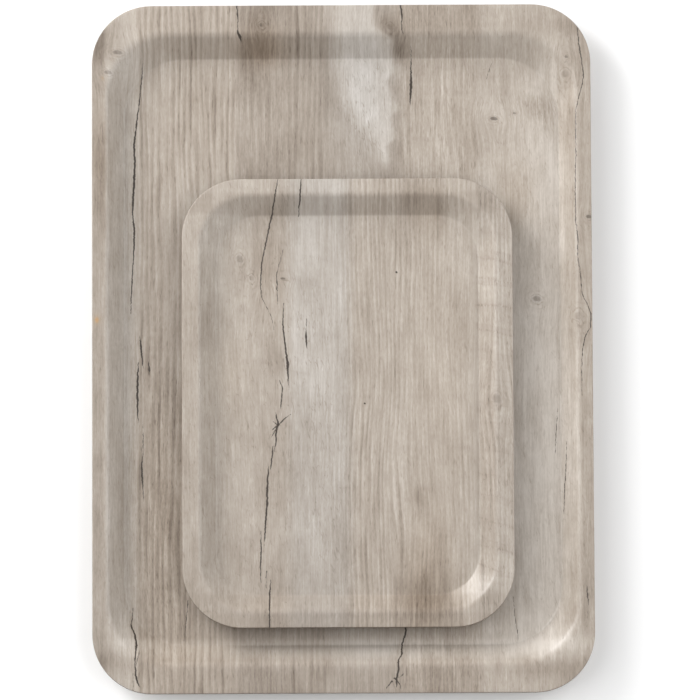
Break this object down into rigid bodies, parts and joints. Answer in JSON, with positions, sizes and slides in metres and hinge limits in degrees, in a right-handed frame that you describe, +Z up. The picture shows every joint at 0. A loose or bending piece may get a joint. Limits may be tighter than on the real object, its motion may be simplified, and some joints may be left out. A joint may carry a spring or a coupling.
{
  "type": "serving tray",
  "caption": "Nested rectangular serving trays pressed from veneer with a weathered-oak laminate face, rounded corners and sloping walls; the small tray lifts out of the large one.",
  "frame": {"origin": "middle of the large tray's underside", "axes": "+Z up out of the wells, +Y along the long sides towards the open end of the large well, +X to the right of a viewer facing +Y"},
  "size_m": [0.31, 0.43, 0.02],
  "materials": {
    "printed_decor": "satin melamine laminate printed as weathered oak",
    "veneer_lengthwise": "birch veneer, grain along the tray",
    "veneer_crosswise": "birch veneer, grain across the tray",
    "backing": "matt melamine backing laminate"
  },
  "bodies": {
    "large_tray": {"large_top_decor_sheet": "printed_decor", "large_veneer_ply_1": "veneer_lengthwise", "large_veneer_ply_2": "veneer_crosswise", "large_veneer_ply_3": "veneer_lengthwise", "large_veneer_ply_4": "veneer_crosswise", "large_veneer_ply_5": "veneer_lengthwise", "large_backing_sheet": "backing"},
    "small_tray": {"small_top_decor_sheet": "printed_decor", "small_veneer_ply_1": "veneer_lengthwise", "small_veneer_ply_2": "veneer_crosswise", "small_veneer_ply_3": "veneer_lengthwise", "small_backing_sheet": "backing"}
  },
  "joints": [
    {"name": "small_tray_lift", "type": "slide", "parent": "large_tray", "child": "small_tray", "axis": [0, 0, 1], "range_m": [0, 0.25]}
  ]
}
